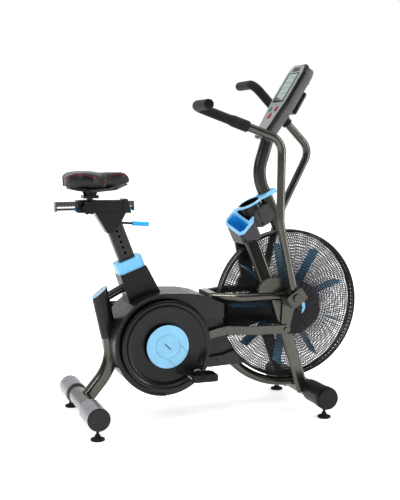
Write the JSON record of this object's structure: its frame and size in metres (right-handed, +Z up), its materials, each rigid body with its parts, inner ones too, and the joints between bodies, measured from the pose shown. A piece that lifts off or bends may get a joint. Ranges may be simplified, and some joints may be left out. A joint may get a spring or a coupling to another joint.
{
  "type": "fan exercise bike",
  "caption": "Upright exercise bike with a caged paddle fan, belt-driven crank discs, linked swinging arm bars, sliding saddle and tilted console.",
  "frame": {"origin": "on the floor, under the middle of the bike's outline, on the centre plane", "axes": "+X forward towards the fan, +Y to the rider's left along the crank and fan axles, +Z up"},
  "size_m": [1.2, 0.644, 1.3311],
  "materials": {
    "rear_stabilizer": "satin metallic grey tube",
    "front_stabilizer": "satin metallic grey tube",
    "rear_caps": "light grey sleeves",
    "front_caps": "dark sleeves",
    "foot_rear_right": "black levelling foot",
    "foot_rear_left": "black levelling foot",
    "foot_front_right": "black levelling foot",
    "foot_front_left": "black levelling foot",
    "rear_leg": "gunmetal",
    "rear_leg_cover": "black",
    "main_frame": "gunmetal",
    "hoop_tube": "gunmetal",
    "side_arm_right": "gunmetal",
    "side_arm_left": "gunmetal",
    "upright_right": "gunmetal",
    "upright_left": "gunmetal",
    "front_leg_right": "gunmetal with black bracket",
    "front_leg_left": "gunmetal with black bracket",
    "mast": "dark gunmetal",
    "shell_right": "dark purple-grey",
    "shell_left": "dark purple-grey",
    "shell_screws": "black oxide",
    "belt_guard": "black",
    "seat_shroud": "black",
    "seat_collar": "blue",
    "holder_trim": "light blue rim, bright blue tray",
    "holder_body": "grey cup body, purple-grey casing",
    "cup_liner": "black",
    "console_body": "grey case, black edge",
    "console_face": "light grey face with display",
    "key_start": "red key",
    "key_mode": "green key",
    "key_reset": "red key",
    "cage_right": "black wire",
    "cage_left": "black wire",
    "cage_band": "black band",
    "hub_covers": "black with blue centre",
    "fan_hub": "black",
    "fan_blades": "blue paddles",
    "fan_axle": "plain steel",
    "belt": "black belt",
    "crank_spindle": "steel",
    "crank_right": "black disc, blue centre",
    "crank_left": "black disc, blue centre",
    "pedal_right": "black",
    "pedal_left": "black",
    "arm_right": "gunmetal",
    "arm_left": "gunmetal",
    "grips_right": "black foam",
    "grips_left": "black foam",
    "link_right": "gunmetal",
    "link_left": "gunmetal",
    "seat_post": "dark gunmetal",
    "seat_carriage": "dark gunmetal, blue bushes",
    "seat_rail": "grey metal",
    "clamp_knob": "black",
    "height_lever": "blue grip on a black lever",
    "saddle_clamp": "black clamp",
    "saddle_base": "black pan",
    "saddle": "black with red piping"
  },
  "bodies": {
    "frame": {"rear_stabilizer": "rear_stabilizer", "front_stabilizer": "front_stabilizer", "rear_caps": "rear_caps", "front_caps": "front_caps", "rear_leg": "rear_leg", "rear_leg_cover": "rear_leg_cover", "main_frame": "main_frame", "hoop_tube": "hoop_tube", "side_arm_right": "side_arm_right", "side_arm_left": "side_arm_left", "upright_right": "upright_right", "upright_left": "upright_left", "front_leg_right": "front_leg_right", "front_leg_left": "front_leg_left", "mast": "mast", "shell_right": "shell_right", "shell_left": "shell_left", "shell_screws": "shell_screws", "belt_guard": "belt_guard", "seat_shroud": "seat_shroud", "seat_collar": "seat_collar", "holder_trim": "holder_trim", "holder_body": "holder_body", "cup_liner": "cup_liner", "console_body": "console_body", "console_face": "console_face", "cage_right": "cage_right", "cage_left": "cage_left", "cage_band": "cage_band", "hub_covers": "hub_covers", "fan_axle": "fan_axle", "belt": "belt"},
    "foot_rear_r": {"foot_rear_right": "foot_rear_right"},
    "foot_rear_l": {"foot_rear_left": "foot_rear_left"},
    "foot_front_r": {"foot_front_right": "foot_front_right"},
    "foot_front_l": {"foot_front_left": "foot_front_left"},
    "fan": {"fan_hub": "fan_hub", "fan_blades": "fan_blades"},
    "crankset": {"crank_spindle": "crank_spindle", "crank_right": "crank_right", "crank_left": "crank_left"},
    "pedal_r": {"pedal_right": "pedal_right"},
    "pedal_l": {"pedal_left": "pedal_left"},
    "arm_r": {"arm_right": "arm_right", "grips_right": "grips_right"},
    "arm_l": {"arm_left": "arm_left", "grips_left": "grips_left"},
    "link_r": {"link_right": "link_right"},
    "link_l": {"link_left": "link_left"},
    "post": {"seat_post": "seat_post", "seat_carriage": "seat_carriage"},
    "lever": {"height_lever": "height_lever"},
    "knob": {"clamp_knob": "clamp_knob"},
    "rail": {"seat_rail": "seat_rail", "saddle_clamp": "saddle_clamp"},
    "seat": {"saddle_base": "saddle_base", "saddle": "saddle"},
    "start_key": {"key_start": "key_start"},
    "mode_key": {"key_mode": "key_mode"},
    "reset_key": {"key_reset": "key_reset"}
  },
  "joints": [
    {"name": "foot_rear_r_level", "type": "slide", "parent": "frame", "child": "foot_rear_r", "axis": [0, 0, -1], "range_m": [0, 0.012]},
    {"name": "foot_rear_l_level", "type": "slide", "parent": "frame", "child": "foot_rear_l", "axis": [0, 0, -1], "range_m": [0, 0.012]},
    {"name": "foot_front_r_level", "type": "slide", "parent": "frame", "child": "foot_front_r", "axis": [0, 0, -1], "range_m": [0, 0.012]},
    {"name": "foot_front_l_level", "type": "slide", "parent": "frame", "child": "foot_front_l", "axis": [0, 0, -1], "range_m": [0, 0.012]},
    {"name": "crank_spin", "type": "hinge", "parent": "frame", "child": "crankset", "pos_m": [-0.218, 0, 0.293], "axis": [0, 1, 0], "continuous": true},
    {"name": "fan_spin", "type": "hinge", "parent": "frame", "child": "fan", "pos_m": [0.31, 0, 0.407], "axis": [0, 1, 0], "continuous": true},
    {"name": "right_pedal_spin", "type": "hinge", "parent": "crankset", "child": "pedal_r", "pos_m": [-0.10464, -0.195, 0.18729], "axis": [0, 1, 0], "continuous": true},
    {"name": "left_pedal_spin", "type": "hinge", "parent": "crankset", "child": "pedal_l", "pos_m": [-0.33136, 0.195, 0.39871], "axis": [0, 1, 0], "continuous": true},
    {"name": "right_arm_swing", "type": "hinge", "parent": "frame", "child": "arm_r", "pos_m": [0.27, -0.165, 0.455], "axis": [0, 1, 0], "range_deg": [0, 26.5]},
    {"name": "left_arm_swing", "type": "hinge", "parent": "frame", "child": "arm_l", "pos_m": [0.27, 0.165, 0.455], "axis": [0, 1, 0], "range_deg": [-26.5, 0]},
    {"name": "right_link_swing", "type": "hinge", "parent": "arm_r", "child": "link_r", "pos_m": [0.25, -0.136, 0.33], "axis": [0, 1, 0], "range_deg": [-33.5, 0]},
    {"name": "left_link_swing", "type": "hinge", "parent": "arm_l", "child": "link_l", "pos_m": [0.19633, 0.136, 0.35206], "axis": [0, 1, 0], "range_deg": [0, 34]},
    {"name": "seat_post_slide", "type": "slide", "parent": "frame", "child": "post", "axis": [-0.3535, 0, 0.9354], "range_m": [-0.1, 0.06]},
    {"name": "height_lever_pull", "type": "hinge", "parent": "post", "child": "lever", "pos_m": [-0.35466, 0, 0.73952], "axis": [0, 1, 0], "range_deg": [-12, 0], "stiffness_Nm_per_rad": 2, "springref_deg": 5.73},
    {"name": "clamp_knob_turn", "type": "hinge", "parent": "post", "child": "knob", "pos_m": [-0.484, -0.045, 0.8], "axis": [0, 1, 0], "range_deg": [0, 360]},
    {"name": "seat_rail_slide", "type": "slide", "parent": "post", "child": "rail", "axis": [1, 0, 0], "range_m": [0, 0.055]},
    {"name": "saddle_tilt", "type": "hinge", "parent": "rail", "child": "seat", "pos_m": [-0.471, 0, 0.846], "axis": [0, 1, 0], "range_deg": [-8, 8]},
    {"name": "start_key_press", "type": "slide", "parent": "frame", "child": "start_key", "axis": [0.848, 0, -0.5299], "range_m": [0, 0.0011], "stiffness_N_per_m": 800, "springref_m": -0.0005},
    {"name": "mode_key_press", "type": "slide", "parent": "frame", "child": "mode_key", "axis": [0.848, 0, -0.5299], "range_m": [0, 0.0011], "stiffness_N_per_m": 800, "springref_m": -0.0005},
    {"name": "reset_key_press", "type": "slide", "parent": "frame", "child": "reset_key", "axis": [0.848, 0, -0.5299], "range_m": [0, 0.0011], "stiffness_N_per_m": 800, "springref_m": -0.0005}
  ],
  "couplings": [
    {"joint": "fan_spin", "follows": "crank_spin", "ratio": 5.4},
    {"joint": "left_arm_swing", "follows": "right_arm_swing", "ratio": -1},
    {"joint": "right_link_swing", "follows": "right_arm_swing", "ratio": -1.25},
    {"joint": "left_link_swing", "follows": "right_arm_swing", "ratio": 1.28}
  ]
}
